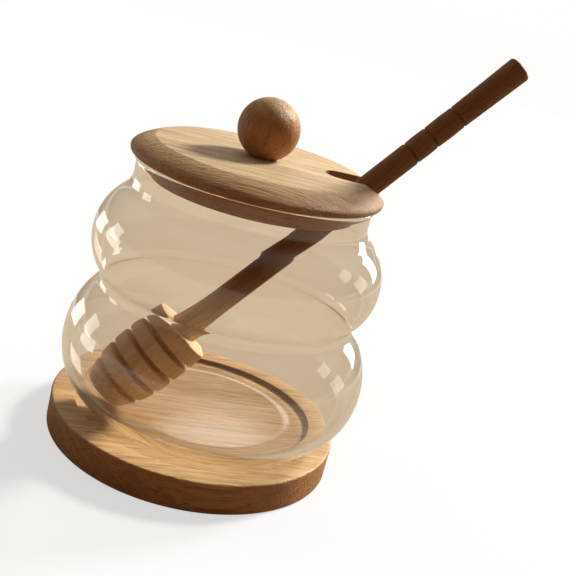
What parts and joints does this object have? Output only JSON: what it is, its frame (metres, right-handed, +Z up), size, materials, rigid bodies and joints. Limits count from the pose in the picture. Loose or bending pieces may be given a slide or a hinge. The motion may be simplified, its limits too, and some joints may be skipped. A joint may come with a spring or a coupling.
{
  "type": "glass honey jar",
  "caption": "Clear waisted glass honey jar with a slotted wooden lid and ball knob, a leaning wooden dipper and a recessed wooden coaster.",
  "frame": {"origin": "centre of the coaster's flat underside", "axes": "+Z up, +X towards the lid's slot and the side that the dipper leans to"},
  "size_m": [0.116, 0.0918, 0.1347],
  "materials": {
    "clear_glass": "clear, polished",
    "lid_wood": "satin, fine straight grain",
    "knob_wood": "satin",
    "dipper_wood": "matt",
    "coaster_wood": "satin, straight grain"
  },
  "bodies": {
    "root": {"glass_jar": "clear_glass", "lid": "lid_wood", "knob": "knob_wood", "dipper": "dipper_wood", "coaster": "coaster_wood"}
  },
  "joints": []
}
